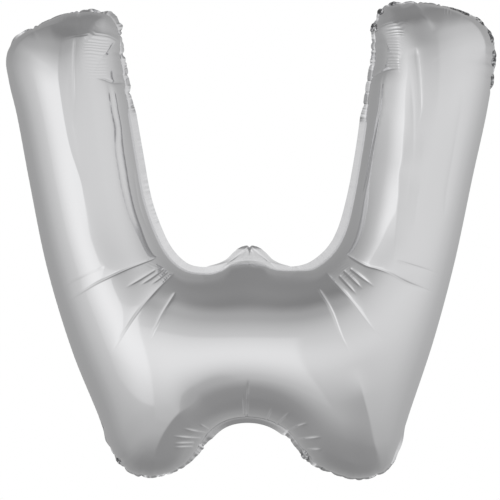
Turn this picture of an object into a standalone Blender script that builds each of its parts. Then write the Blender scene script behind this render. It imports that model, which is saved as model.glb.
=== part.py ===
"""Giant letter foil balloon, blown up: two film panels, the welded seam flange and the folded filling neck.

Metres, +Z up. The letter's front faces -Y and its seam lies in the plane Y = 0. The origin is the centre of lift.
"""

import bmesh
import bpy
import numpy as np
from mathutils import Vector
from mathutils.geometry import delaunay_2d_cdt

MM = 0.001

# Driving sizes
PANEL_WALL = 0.010  # stands for a film of about 0.04 mm
WELD_THICK = 0.0012  # the two films welded into one flange
SEAT_THICK = 0.0010  # the flange's part between the two panels' rims
REST_GAP = 0.0003  # between pieces that lie on each other
RIM_Y = WELD_THICK / 2 + REST_GAP  # each panel's rim, from the seam plane
SHOWN_FROM = 0.0005  # outside the seam line, the flange is clear of the panels from here on
OUTLINE_STEP = 0.0215  # between points along the seam
DEPTH_SHARE = 0.93  # a leg's depth over its width: the weld holds its section a little flat
FIELD_CELL = 0.005  # grid on which the bulge of the film is worked out
RING_OFFSETS = (0.0035, 0.0135, 0.030)  # rows of points beside the seam, 15, 30 and 45 degrees round a leg
INNER_STEP = 0.030  # between the points inside those rows

# Filling neck: rises from the saddle, folds back over its own top and lies down behind
NECK_FILM = 0.0008
NECK_RISE = 0.0265
NECK_FOLD_RADIUS = 0.0062
NECK_FALL = 0.020
NECK_FALL_LEAN = 0.50  # radians that the folded part leans back
NECK_ROOT_HALF = 0.049
NECK_TOP_HALF = 0.015
NECK_END_HALF = 0.021
NECK_ROOT_LIFT = 0.0005  # above the seam line, clear of the panels
VALVE_HALF = 0.0105
VALVE_OUT = 0.007  # how far the valve film shows past the neck's mouth

SILVER = (0.80, 0.80, 0.81, 1.0)
CLEAR_FILM = (0.86, 0.88, 0.90, 1.0)

# The seam line, in mm from the origin. Columns: station, left x, left z, right x, right z, width of the flange.
# Both sides run from the saddle under the neck, up the inside of the leg, over its cap and down to the arch.
SEAM = (
    ("saddle_in", -40, -14, 40, -14, 10),
    ("saddle_out", -75, -18, 74, -17, 10),
    ("crotch_floor", -104, -14, 104, -12, 11),
    ("crotch_low", -126, 0, 128, 2, 12),
    ("crotch_mid", -144, 22, 149, 24, 12),
    ("crotch_high", -161, 57, 165, 55, 12),
    ("inner_low", -178, 107, 181, 112, 12),
    ("inner_mid", -194, 193, 196, 193, 12),
    ("inner_high", -208, 279, 207, 279, 11),
    ("inner_top", -219, 356, 216, 351, 8),
    ("cap_inner_corner", -226, 404, 219, 410, 7),
    ("cap_in", -245, 427, 233, 437, 6),
    ("cap_mid", -285, 430, 268, 446, 5),
    ("cap_far", -324, 423, 312, 443, 5),
    ("cap_out", -362, 406, 359, 431, 5),
    ("cap_outer_corner", -398, 385, 400, 412, 4),
    ("shoulder", -416, 356, 420, 378, 3),
    ("outer_top", -413, 317, 421, 334, 3),
    ("outer_high", -398, 253, 410, 261, 3),
    ("outer_mid", -376, 136, 385, 146, 3),
    ("outer_bend", -346, -10, 354, 0, 3),
    ("outer_low", -302, -155, 318, -134, 3),
    ("ankle", -260, -258, 279, -251, 3),
    ("heel", -236, -320, 258, -313, 4),
    ("toe_out", -208, -356, 238, -355, 5),
    ("sole", -175, -367, 193, -371, 5),
    ("toe_in", -133, -360, 147, -362, 5),
    ("arch_foot", -103, -340, 111, -343, 8),
    ("arch_low", -83, -313, 90, -318, 12),
    ("arch_side", -65, -290, 70, -293, 13),
    ("arch_high", -40, -273, 40, -274, 13),
)
NECK_ROOT = (0, -5, 10)  # x, z and flange width where the neck leaves the saddle
ARCH_TOP = (0, -266, 13)


def smooth_loop(knots, per_span=24):
    """A closed centripetal Catmull-Rom curve through the knots, in many short steps."""
    found = []
    count = len(knots)
    for i in range(count):
        p0, p1, p2, p3 = (knots[(i + k) % count] for k in (-1, 0, 1, 2))
        t0 = 0.0
        t1 = t0 + np.linalg.norm(p1[:2] - p0[:2]) ** 0.5
        t2 = t1 + np.linalg.norm(p2[:2] - p1[:2]) ** 0.5
        t3 = t2 + np.linalg.norm(p3[:2] - p2[:2]) ** 0.5
        for t in np.linspace(t1, t2, per_span, endpoint=False):
            a1 = ((t1 - t) * p0 + (t - t0) * p1) / (t1 - t0)
            a2 = ((t2 - t) * p1 + (t - t1) * p2) / (t2 - t1)
            a3 = ((t3 - t) * p2 + (t - t2) * p3) / (t3 - t2)
            b1 = ((t2 - t) * a1 + (t - t0) * a2) / (t2 - t0)
            b2 = ((t3 - t) * a2 + (t - t1) * a3) / (t3 - t1)
            found.append(((t2 - t) * b1 + (t - t1) * b2) / (t2 - t1))
    return np.array(found)


def even_steps(loop, step):
    """The closed loop again, with points an even step apart along it."""
    closed = np.vstack([loop, loop[:1]])
    along = np.concatenate([[0], np.cumsum(np.linalg.norm(np.diff(closed[:, :2], axis=0), axis=1))])
    places = np.linspace(0, along[-1], round(along[-1] / step), endpoint=False)
    return np.column_stack([np.interp(places, along, closed[:, c]) for c in range(closed.shape[1])])


def seam_loop():
    """Points (x, z, flange width) along the seam, anticlockwise seen from the front."""
    left = [(row[1], row[2], row[5]) for row in SEAM]
    right = [(row[3], row[4], row[5]) for row in SEAM]
    knots = np.array([NECK_ROOT, *left, ARCH_TOP, *reversed(right)], float) * MM
    return even_steps(smooth_loop(knots), OUTLINE_STEP)


def inward(loop):
    """Unit normals of the seam, in its plane, pointing into the letter."""
    along = np.roll(loop[:, :2], -1, axis=0) - np.roll(loop[:, :2], 1, axis=0)
    along /= np.linalg.norm(along, axis=1)[:, None]
    return np.column_stack([-along[:, 1], along[:, 0]])


def distance_inside(points, loop):
    """Distance from each point to the seam, above 0 inside the letter and below 0 outside."""
    start = loop[:, :2]
    run = np.roll(start, -1, axis=0) - start
    square = (run**2).sum(axis=1)
    nearest = np.full(len(points), np.inf)
    crossings = np.zeros(len(points), int)
    for a, d, dd in zip(start, run, square):
        rel = points - a
        t = np.clip((rel @ d) / dd, 0, 1)
        nearest = np.minimum(nearest, np.hypot(*(rel - t[:, None] * d).T))
        b = a + d
        spans = (a[1] > points[:, 1]) != (b[1] > points[:, 1])
        if abs(d[1]) > 0:
            crossings += spans & (points[:, 0] < a[0] + d[0] * (points[:, 1] - a[1]) / d[1])
    return np.where(crossings % 2 == 1, nearest, -nearest)


class Bulge:
    """How far the gas pushes the film out at each place: height squared has a Laplacian of -2, and is 0 on the seam.

    Along a straight leg this makes a tube, and it closes smoothly over a cap and at a branch.
    """

    def __init__(self, loop):
        margin = 3 * FIELD_CELL
        self.low = loop[:, :2].min(axis=0) - margin
        size = np.ceil((loop[:, :2].max(axis=0) + margin - self.low) / FIELD_CELL).astype(int) + 1
        grid = np.stack(np.meshgrid(*(np.arange(n) for n in size), indexing="ij"), axis=-1)
        self.distance = distance_inside(grid.reshape(-1, 2) * FIELD_CELL + self.low, loop).reshape(size)
        self.ratio = self.per_distance(self.solved())

    def solved(self):
        """Conjugate gradients on the grid, with the seam's true place between the grid's points."""
        d, inside = self.distance, self.distance > 0
        diagonal = np.zeros(d.shape)
        links = []
        for axis, step in ((0, 1), (0, -1), (1, 1), (1, -1)):
            beyond = np.roll(d, -step, axis=axis)
            share = np.clip(d / np.maximum(d - beyond, 1e-12), 0.05, 1)
            diagonal += np.where(beyond > 0, 1.0, 1 / share)
            links.append((axis, step, beyond > 0))

        def apply(field):
            out = diagonal * field
            for axis, step, joined in links:
                out -= np.where(joined, np.roll(field, -step, axis=axis), 0)
            return np.where(inside, out, 0)

        field = np.zeros(d.shape)
        left_over = np.where(inside, 2 * FIELD_CELL**2, 0)
        ahead, size = left_over.copy(), (left_over**2).sum()
        first = size
        while size > 1e-14 * first:
            pushed = apply(ahead)
            pace = size / (ahead * pushed).sum()
            field += pace * ahead
            left_over -= pace * pushed
            new = (left_over**2).sum()
            ahead, size = left_over + new / size * ahead, new
        return field

    def per_distance(self, field):
        """The field over the distance to the seam, carried a few cells past the seam so that it reads smoothly."""
        known = self.distance > 0.4 * FIELD_CELL
        ratio = np.where(known, field / np.maximum(self.distance, 1e-9), 0)
        for _ in range(4):
            count, total = np.zeros(ratio.shape), np.zeros(ratio.shape)
            for axis in (0, 1):
                for step in (1, -1):
                    count += np.roll(known, step, axis=axis)
                    total += np.roll(np.where(known, ratio, 0), step, axis=axis)
            ratio = np.where(known, ratio, total / np.maximum(count, 1))
            known = known | (count > 0)
        return ratio

    def read(self, grid, points):
        place = (points - self.low) / FIELD_CELL
        cell = np.clip(np.floor(place).astype(int), 0, np.array(grid.shape) - 2)
        fx, fz = (place - cell).T
        i, j = cell.T
        low = grid[i, j] * (1 - fx) + grid[i + 1, j] * fx
        high = grid[i, j + 1] * (1 - fx) + grid[i + 1, j + 1] * fx
        return low * (1 - fz) + high * fz

    def height(self, points, distance):
        return DEPTH_SHARE * np.sqrt(np.maximum(self.read(self.ratio, points) * distance, 0))


def film_plan(loop):
    """Plan points and triangles of one film: rows beside the seam, then an even net inside them."""
    rows = [loop[:, :2]]
    facing = inward(loop)
    for offset in RING_OFFSETS:
        row = loop[:, :2] + facing * offset
        rows.append(row[distance_inside(row, loop) > 0.93 * offset])
    low, high = loop[:, :2].min(axis=0), loop[:, :2].max(axis=0)
    lines = np.arange(low[1], high[1], INNER_STEP * 0.866)
    net = []
    for k, z in enumerate(lines):
        xs = np.arange(low[0] + (k % 2) * INNER_STEP / 2, high[0], INNER_STEP)
        net.extend((x, z) for x in xs)
    net = np.array(net)
    rows.append(net[distance_inside(net, loop) > RING_OFFSETS[-1] + 0.6 * INNER_STEP])
    points = [Vector(p) for p in np.vstack(rows)]
    border = list(range(len(loop)))
    plan, _, faces, *_ = delaunay_2d_cdt(points, [], [border], 1, 1e-6)
    return np.array([tuple(p) for p in plan]), faces


def new_object(name, bm, colour, roughness, metallic):
    bmesh.ops.recalc_face_normals(bm, faces=bm.faces)
    mesh = bpy.data.meshes.new(name)
    bm.to_mesh(mesh)
    bm.free()
    material = bpy.data.materials.new(name)
    material.use_nodes = True
    shader = material.node_tree.nodes["Principled BSDF"]
    shader.inputs["Base Color"].default_value = colour
    shader.inputs["Roughness"].default_value = roughness
    shader.inputs["Metallic"].default_value = metallic
    mesh.materials.append(material)
    obj = bpy.data.objects.new(name, mesh)
    bpy.context.scene.collection.objects.link(obj)
    mesh.shade_smooth()
    mesh.set_sharp_from_angle(angle=np.radians(40))
    return obj


def film_panel(name, side, loop, plan, faces, bulge):
    """One film, bulged towards side (-1 front, +1 back), with its flat rim lying on the flange."""
    heights = bulge.height(plan, distance_inside(plan, loop))
    bm = bmesh.new()
    verts = [
        bm.verts.new((x, side * (RIM_Y + h), z)) for (x, z), h in zip(plan, heights)
    ]
    sheet = [bm.faces.new([verts[i] for i in face]) for face in faces]
    bmesh.ops.recalc_face_normals(bm, faces=sheet)
    if sum(f.normal.y * f.calc_area() for f in sheet) * side < 0:
        bmesh.ops.reverse_faces(bm, faces=sheet)
    bmesh.ops.solidify(bm, geom=sheet, thickness=PANEL_WALL)
    for v in bm.verts:
        if v.co.y * side < RIM_Y:
            v.co.y = side * RIM_Y
    return new_object(name, bm, SILVER, 0.25, 1.0)


def seam_flange(loop):
    """The welded margin: a thin seat between the two rims, and a flat band that shows outside them."""
    facing = inward(loop)
    seat, band = SEAT_THICK / 2, WELD_THICK / 2
    width = -loop[:, 2:3]
    half = ((PANEL_WALL, seat), (-SHOWN_FROM, seat), (-SHOWN_FROM, band), (width, band))
    section = [(offset, -y) for offset, y in half] + list(reversed(half))
    bm = bmesh.new()
    rings = []
    for offset, y in section:
        verts = [bm.verts.new((x, y, z)) for x, z in loop[:, :2] + facing * offset]
        rings.append([bm.edges.new((v, verts[(i + 1) % len(verts)])) for i, v in enumerate(verts)])
    for ring, following in zip(rings, rings[1:] + rings[:1]):
        bmesh.ops.bridge_loops(bm, edges=ring + following)
    return new_object("seam_flange", bm, SILVER, 0.30, 1.0)


def neck_point(along, offset):
    """(y, height above the root) of the folded neck at a length along it, offset behind its middle film."""
    lean = np.pi - NECK_FALL_LEAN
    bend = NECK_FOLD_RADIUS * lean
    turn = min(max((along - NECK_RISE) / NECK_FOLD_RADIUS, 0), lean)
    if along <= NECK_RISE:
        return offset, along
    radius = NECK_FOLD_RADIUS - offset
    y = NECK_FOLD_RADIUS - radius * np.cos(turn)
    z = NECK_RISE + radius * np.sin(turn)
    past = max(along - NECK_RISE - bend, 0)
    return y + past * np.sin(lean), z + past * np.cos(lean)


def neck_length():
    return NECK_RISE + NECK_FOLD_RADIUS * (np.pi - NECK_FALL_LEAN) + NECK_FALL


def root_height(x, loop):
    """Height of the seam line over the saddle at x."""
    near = loop[(np.abs(loop[:, 0]) < 0.09) & (np.abs(loop[:, 1] + 0.012) < 0.03)]
    order = np.argsort(near[:, 0])
    return np.interp(x, near[order, 0], near[order, 1])


def neck_layer(name, offset, thick, start, end, half_width, loop, look):
    """One film of the neck, from start to end along its path; half_width is its half width at root, top and end."""
    bm = bmesh.new()
    length = neck_length()
    across, rows = 8, 26
    bmesh.ops.create_grid(bm, x_segments=across, y_segments=rows, size=1.0)
    corners = {}
    for v in bm.verts:
        corners[v] = (v.co.x, (v.co.y + 1) / 2)
    moved = bmesh.ops.extrude_face_region(bm, geom=bm.faces[:])["geom"]
    for v in moved:
        if isinstance(v, bmesh.types.BMVert):
            corners[v] = (v.co.x, (v.co.y + 1) / 2 + 2)
    for v, (u, place) in corners.items():
        layer = offset + (thick / 2 if place > 1.5 else -thick / 2)
        share = place - 2 if place > 1.5 else place
        along = start + (end - start) * share
        narrow = min(along / NECK_RISE, 1)
        x = u * np.interp(along, (0, NECK_RISE, length), half_width)
        level = root_height(x, loop) * (1 - narrow) + root_height(0, loop) * narrow
        y, z = neck_point(along, layer)
        v.co = (x, y, level + z + NECK_ROOT_LIFT)
    return new_object(name, bm, *look)


def filling_neck(loop):
    """Front film, back film and the clear valve film between them."""
    length = neck_length()
    beside = RIM_Y + NECK_FILM / 2
    halves = (NECK_ROOT_HALF, NECK_TOP_HALF, NECK_END_HALF)
    foil, clear = (SILVER, 0.28, 1.0), (CLEAR_FILM, 0.15, 0.0)
    neck_layer("neck_front_film", -beside, NECK_FILM, 0.0, length, halves, loop, foil)
    neck_layer("neck_back_film", beside, NECK_FILM, 0.0, length - 0.001, halves, loop, foil)
    start = 0.0155
    neck_layer(
        "valve_film", 0.0, WELD_THICK, start, length + VALVE_OUT, (VALVE_HALF,) * 3, loop, clear
    )


def main():
    for obj in list(bpy.data.objects):
        bpy.data.objects.remove(obj)
    loop = seam_loop()
    bulge = Bulge(loop)
    plan, faces = film_plan(loop)
    film_panel("front_panel", -1, loop, plan, faces, bulge)
    film_panel("back_panel", 1, loop, plan, faces, bulge)
    seam_flange(loop)
    filling_neck(loop)


main()
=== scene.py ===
"""Giant silver foil letter balloon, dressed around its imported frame.

Metres, +Z up, front towards -Y. The two films are smooth inflated skins with the folds, puckers and fine
ripples of real foil; the welded margin, the folded filling neck and its valve are pieces of their own.
"""

import math

import bmesh
import bpy
import numpy as np
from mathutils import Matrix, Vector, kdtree


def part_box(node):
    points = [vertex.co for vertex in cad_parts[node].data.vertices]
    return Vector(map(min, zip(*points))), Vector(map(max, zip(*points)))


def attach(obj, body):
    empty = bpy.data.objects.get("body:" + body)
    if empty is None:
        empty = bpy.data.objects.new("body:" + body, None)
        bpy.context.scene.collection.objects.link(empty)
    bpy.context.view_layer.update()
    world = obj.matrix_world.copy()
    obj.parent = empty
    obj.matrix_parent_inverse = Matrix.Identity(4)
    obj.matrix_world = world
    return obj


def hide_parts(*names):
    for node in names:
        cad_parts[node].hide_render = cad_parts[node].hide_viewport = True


bl_info = {
    "name": "Foil letter balloon",
    "version": (1, 0, 0),
    "blender": (4, 5, 0),
    "location": "3D View > Sidebar > Balloon",
    "description": "Dresses the packed balloon with foil films, weld, neck, valve and a plain studio",
    "category": "Object",
}

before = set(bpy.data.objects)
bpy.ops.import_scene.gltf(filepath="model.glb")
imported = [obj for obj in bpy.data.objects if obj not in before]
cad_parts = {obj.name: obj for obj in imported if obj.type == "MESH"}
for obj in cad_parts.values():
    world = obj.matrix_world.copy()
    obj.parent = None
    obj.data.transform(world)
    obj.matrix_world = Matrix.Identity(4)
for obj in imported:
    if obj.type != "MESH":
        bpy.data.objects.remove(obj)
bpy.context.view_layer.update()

MM = 0.001

# Seam and gas-filled film
SEAM_STEP = 0.001
SHOWN_FROM = 0.0005  # the frame's flange shows from here outwards
TURN_SPAN = 4  # steps of the seam on each side over which its turn is measured
# Steps of the seam over which its values are evened out
EVEN_TURN = 20
EVEN_WIDTH = 12
EVEN_BULGE = (6, 8)
EVEN_STRENGTH = 8
EVEN_LEAN = 10
DEPTH_SHARE = 0.93  # of the depth that gas gives a film without folds
FIELD_CELL = 0.003
FIELD_TOLERANCE = 1e-13
READ_DEPTHS = (0.009, 0.016)  # nearer to the seam the field comes from its slope there, not from its grid
FILM_CELL = 0.00305
FINE_MARGINS = (0.0065, 0.0030)  # the net's squares are halved this near to a fold, and once more
FINE_SEAM = 0.010  # and this near to a gathered stretch of the seam
GATHERED_FROM = 0.3  # strength from which a stretch counts as gathered
NEAR_SEAM = 0.072  # inside this distance rows of the film crowd towards the seam
OFF_EDGE = 2e-6  # least distance of a point from the seam that isn't on it
PUCKER_DEPTH = 0.0042
FOLD_ROUND = 0.0006  # roundness of the kink of a bend
SHARP_GROOVE = 0.3  # mm; a fold with a deeper groove is sharp
SHARP_FADE = ((0, 0.1), (0.5, 1.0))  # shares of its length over which a sharp fold grows and fades
SOFT_FADE = ((0, 0.3), (0.75, 1.0))
FINE_RIPPLE = 0.1  # mm; higher ripples get a finer net
RIPPLE_SWAY = ((1.1, 0.21), (0.8, 0.13))  # how far and how fast their lines sway across and along, mm

# Puckers along the seam: ranges of the seeded choices
LAST_LOBE = 0.020
LOBE_LENGTHS = ((0.006, 0.014), (0.018, 0.040), (0.014, 0.030))
LOBE_TILTS = (0.35, 1.0)
FORWARD_SHARE = 0.4  # of the leaves turn forwards
LOBE_SIZES = (0.55, 1.1)
VALLEY_DEPTHS = (0.15, 1.0)
VALLEY_REACHES = (0.010, 0.030)
FAINT_PUCKER = 0.015  # strength outside the gathered stretches
FINE_CRINKLE = 0.55  # turn from one step of the seam to the next, radians

# Welded margin; angles in radians
MARGIN_ROWS = 5
MARGIN_WALL = 0.0003
TUCKED = 0.0018  # how far its inner edge lies under the films
NARROW_FLANGE = (0.0033, 0.0045)  # a flange narrower than this is folded back
FOLDED_LEAN = 1.5
FOLDED_WIDTH = 0.007  # the folded margin is wider than it looks
ARCH_LEAN = 0.62  # backwards under the arch
ARCH_HALF_WIDTH = 0.095
ARCH_BELOW = -0.2
GATHERED_LEAN = 0.65  # backwards where it is gathered
FOOT_LEAN = 0.25  # and this much more at the feet
FOOT_DEPTHS = (0.15, 0.25)
LEAF_TILT = 0.75  # most that a crinkled leaf turns
WAVE_TILT = 0.60  # turn of the fine crinkles on it
LEAF_NARROWING = 0.45
WAVE_NARROWING = 0.08
LEAF_WIDTHS = (0.45, 1.2)  # least and most of a leaf, as shares of the flange

# Filling neck, as in the frame, gathered at its fold
NECK_GRID = (80, 120)
NECK_WALL = 0.0002
NECK_RISE = 0.0265
NECK_FOLD_RADIUS = 0.0062
NECK_FALL = 0.020
NECK_FALL_LEAN = 0.50
NECK_LENGTH = NECK_RISE + NECK_FOLD_RADIUS * (math.pi - NECK_FALL_LEAN) + NECK_FALL
NECK_FOLD_AT = NECK_RISE + NECK_FOLD_RADIUS * math.pi / 2
NECK_ASIDE = 0.0017  # the gathered top sits this far to the right of its notch
NECK_FOOT = -0.003  # the neck's films start this far inside the letter
NECK_LAYER = 0.0013  # from the middle film to the foil on each side
NECK_SIDES_MEET = 0.9  # share of that by which the foils close at their welded sides
NECK_PUFF = 0.0020
SADDLE = ((0, -0.012), (0.09, 0.03))  # middle and half size (x, z) of the place of the seam under it
# Half widths of the neck's foil and of the gas channel by length along the neck, mm
NECK_HALVES = (
    (0, 76), (8, 74), (9.2, 68), (9.8, 59), (10.4, 52.5), (11.4, 48), (12.5, 43.5), (14, 39.5), (16, 36),
    (19, 32), (22.3, 28), (25, 24.5), (28.5, 20.5), (30.5, 17), (32, 14.5), (36, 10), (41, 12), (63, 21),
)
NECK_CHANNEL = ((0, 52), (4.5, 44), (9.5, 35), (13, 27), (19.5, 16), (26, 9), (30, 6.5), (63, 6.5))
NECK_MOUTH = (0.042, 0.009, 0.0035)  # where the gas swells the neck's foot: half width, height, swell
# Lengths along the neck over which the swelling, its weld lines and the notch grow and fade
SWELL_SPAN = ((-0.001, 0.007), (0.010, 0.028))
WELD_SPAN = ((0.002, 0.007), (0.015, 0.021))
NOTCH_SPAN = ((0.016, NECK_FOLD_AT), (NECK_FOLD_AT + 0.003, NECK_FOLD_AT + 0.011))
NOTCH_HALVES = (0.0007, 0.0023)  # half width where it starts and at the fold
NOTCH_DEPTH = 0.0028
NOTCH_FURROW = 0.0060
WELD_LINE = (0.0010, 0.0008)  # half width, depth
PLEATS = (13, 0.0004, 0.016)  # per radian of their fan, depth, reach
PLEATS_FROM = 0.032  # length along the neck where they start
FOOT_RIPPLE = (0.0115, 0.0032, 0.021, 0.00022)  # place along the neck, half sizes along and across, depth
FOOT_RIPPLE_TURN = 3300  # radians per metre
# Where the front film's edge rises up the neck: place across, rise and push forwards, mm
EDGE_LIFT = (
    (-75, 0, 0), (-62, 0, 0.7), (-46, 2.5, 1.5), (-38, 5.5, 2.2), (-31, 8, 3), (-22, 7.2, 3.9),
    (-12, 5.6, 4.6), (0, 4.6, 4.8), (12, 5.6, 4.6), (22, 7.2, 3.9), (29, 7.6, 3), (38, 5.5, 2.1),
    (48, 4.2, 1.4), (66, 4.2, 0.6), (88, 3.2, 0.2), (110, 0, 0),
)
EDGE_LIFT_FADE = 0.010  # inwards from the edge
EDGE_LIFT_ABOVE = -0.06
VALVE_HALVES = ((0, 10.5), (26, 10.5), (36, 9), (45, 10.5), (80, 10.5))
VALVE_START = 0.0155
VALVE_OUT = 0.007

# Folds of the front film: name, depth and half width of the sharp groove, depth of the wide bend (below 0
# it is a ridge), reach of the bend to the left and to the right of the line's way, then the points (x, z)
# of each line with that profile; all in mm
FRONT_FOLDS = (
    ("left_upper", 1.1, 1.5, 2, 18, 12,
     ((-150, 12), (-164, 6), (-197, -7), (-230, -22), (-257, -35), (-290, -55), (-318, -73))),
    ("upper_faint", 0.4, 1.4, 0.3, 6, 6,
     ((-240, -6), (-262, -15), (-295, -30), (-326, -48)), ((245, 5), (274, -4), (300, -12), (324, -21))),
    ("left_lower", 1.3, 1.6, 2.8, 24, 9,
     ((-124, -15), (-144, -34), (-166, -58), (-187, -84), (-204, -109), (-231, -154))),
    ("left_ray", 1, 1.6, 0.5, 4, 5, ((-122, -48), (-125, -53), (-144, -84), (-156, -109), (-168, -137))),
    ("short", 1, 1.6, 0.8, 4, 6,
     ((-155, -10), (-180, -26), (-208, -43)), ((-142, -9), (-162, -24), (-184, -39)),
     ((170, -8), (190, -24), (213, -42)), ((160, -12), (176, -28), (192, -45))),
    ("short_low", 0.8, 1.5, 0.6, 4, 4,
     ((-136, -14), (-150, -26), (-166, -38)), ((152, -20), (168, -38), (182, -54))),
    ("right_upper", 1.1, 1.5, 2, 12, 18,
     ((163, 16), (195, -3), (217, -10), (238, -18), (269, -34), (320, -53))),
    ("right_lower", 1.2, 1.6, 2.8, 9, 24,
     ((130, -15), (156, -44), (175, -66), (193, -90), (209, -111), (230, -136))),
    ("right_ray", 1.1, 1.6, 0.7, 5, 8, ((116, -40), (139, -80), (154, -120), (164, -140), (175, -162))),
    ("arch_middle", 1.8, 1.6, 0.5, 3, 3, ((-3, -268), (-2, -240), (0, -192))),
    ("arch_middle_side", 1.2, 1.4, 0.3, 3, 3, ((-7, -262), (-8, -240), (-9, -214))),
    ("arch_right", -1.6, 1.6, -0.2, 3, 3,
     ((30, -269), (35, -257), (42, -240)), ((46, -278), (56, -266), (71, -250)),
     ((68, -286), (84, -276), (101, -270)), ((84, -300), (103, -297), (125, -294)),
     ((100, -318), (112, -317), (126, -317))),
    ("arch_left", -1.3, 1.6, -0.2, 3, 3,
     ((-68, -284), (-76, -277), (-84, -272)), ((-72, -290), (-92, -284), (-113, -278)),
     ((-80, -299), (-105, -295), (-132, -291)), ((-92, -306), (-112, -305), (-130, -305)),
     ((-94, -313), (-112, -312), (-130, -312))),
    ("left_leg_ridge", 0, 1, -2, 20, 12,
     ((-316, 426), (-317, 393), (-317, 372), (-321, 322), (-318, 290), (-308, 228),
      (-298, 186), (-283, 145), (-276, 111), (-269, 73), (-261, 35))),
    ("left_leg_line", 0.5, 1.5, 0.5, 6, 8, ((-295, 383), (-295, 331), (-294, 279), (-295, 224))),
    ("left_leg_spindle", 2.4, 4.2, -2.8, 14, 9,
     ((-238, 314), (-230, 259), (-224, 228), (-223, 193), (-218, 159), (-212, 125),
      (-202, 87), (-192, 63), (-178, 33), (-164, 11))),
    ("left_leg_inner_line", 0.8, 1.4, 0.5, 4, 4,
     ((-195, 159), (-192, 133), (-187, 104), (-181, 83), (-171, 56), (-159, 32))),
    ("right_leg_ridge", 0, 1, -1.2, 16, 14,
     ((266, 297), (264, 238), (262, 211), (260, 176), (255, 149),
      (254, 114), (252, 94), (249, 63), (245, 21))),
    ("right_leg_ridge_low", 0, 1, -3, 24, 30,
     ((262, 230), (260, 176), (255, 149), (254, 114), (252, 94), (249, 63), (245, 21), (238, -30))),
    ("right_leg_gap", 0.25, 2.2, 0.6, 7, 7, ((272, 330), (277, 260), (277, 200), (273, 140), (266, 80))),
    ("right_leg_streak", 0.15, 2, -0.9, 8, 6,
     ((318, 410), (322, 330), (318, 270), (310, 200), (302, 120), (296, 60))),
    ("left_leg_streak", 0.25, 2.2, 0.5, 6, 9,
     ((-304, 330), (-303, 280), (-296, 220), (-286, 165), (-275, 120))),
    ("left_leg_far_streak", 0.3, 2, -1.2, 8, 8,
     ((-264, 350), (-262, 280), (-256, 210), (-246, 150), (-232, 90))),
    ("right_leg_line", 0.7, 1.6, 0.8, 6, 9,
     ((283, 365), (288, 314), (290, 279), (290, 259), (286, 238), (278, 211))),
    ("right_leg_bead", 0, 1, -1.4, 6, 6,
     ((292, 219), (292, 176), (290, 135), (285, 107), (280, 73), (274, 21))),
    ("right_leg_far_line", 0.2, 1.2, 1.3, 7, 7,
     ((360, 307), (359, 259), (352, 217), (345, 176), (336, 125), (329, 64))),
    ("right_leg_inner", 1.2, 2.2, -4.2, 9, 24,
     ((233, 334), (229, 297), (226, 262), (221, 238), (216, 211), (211, 183), (207, 159),
      (202, 135), (195, 107), (190, 80), (183, 52), (175, 25))),
    ("left_cap", 1, 1.5, -4.8, 30, 8,
     ((-221, 373), (-233, 381), (-247, 385), (-264, 386), (-280, 384), (-297, 382), (-317, 376))),
    ("left_cap_facet", 0.3, 1, -1, 9, 9,
     ((-238, 422), (-250, 417), (-261, 408), (-269, 396), (-271, 384))),
    ("left_cap_crease", 0.5, 1.4, -2, 14, 10, ((-312, 434), (-313, 412), (-312, 386))),
    ("left_cap_pleat", 0.9, 1.3, 0.6, 3, 5, ((-357, 415), (-358, 405), (-359, 391))),
    ("left_leg_waist", 1.2, 1.4, 1.5, 5, 9, ((-212, 309), (-228, 306), (-242, 310), (-262, 314))),
    ("right_cap", 1, 1.5, -4.6, 8, 26, ((219, 398), (231, 403), (243, 406), (261, 407), (276, 403))),
    ("right_cap_side", 0.4, 1.2, -3.4, 8, 14, ((283, 446), (288, 434), (293, 424), (304, 408), (314, 391))),
    ("right_leg_waist", 1.2, 1.4, 1.4, 7, 5, ((207, 315), (218, 321), (233, 327), (254, 329))),
    ("right_outer_upper", 0.3, 1, 0.4, 4, 4, ((420, 334), (413, 338), (404, 344))),
    ("heel_dent", 1.2, 3, 0.8, 6, 6, ((-259, -273), (-252, -281), (-240, -287))),
    ("right_cap_brow", 0, 1, -5.5, 8, 20,
     ((290, 440), (320, 432), (352, 422), (382, 404), (398, 378), (404, 340))),
    ("left_cap_brow", 0, 1, -3.6, 8, 18,
     ((-402, 350), (-394, 368), (-374, 386), (-346, 398), (-310, 408))),
    ("left_foot_edge", 0, 1, -4.2, 26, 22,
     ((-78, -222), (-98, -238), (-120, -254), (-142, -284), (-156, -318), (-163, -352), (-166, -372))),
    ("right_foot_edge", 0, 1, -3.2, 20, 24,
     ((176, -170), (186, -205), (195, -236), (204, -270), (214, -310), (226, -350))),
    ("under_neck_side", 0.35, 1.2, 0.2, 3, 3, ((4, -7), (9, -10), (18, -11))),
)

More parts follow.
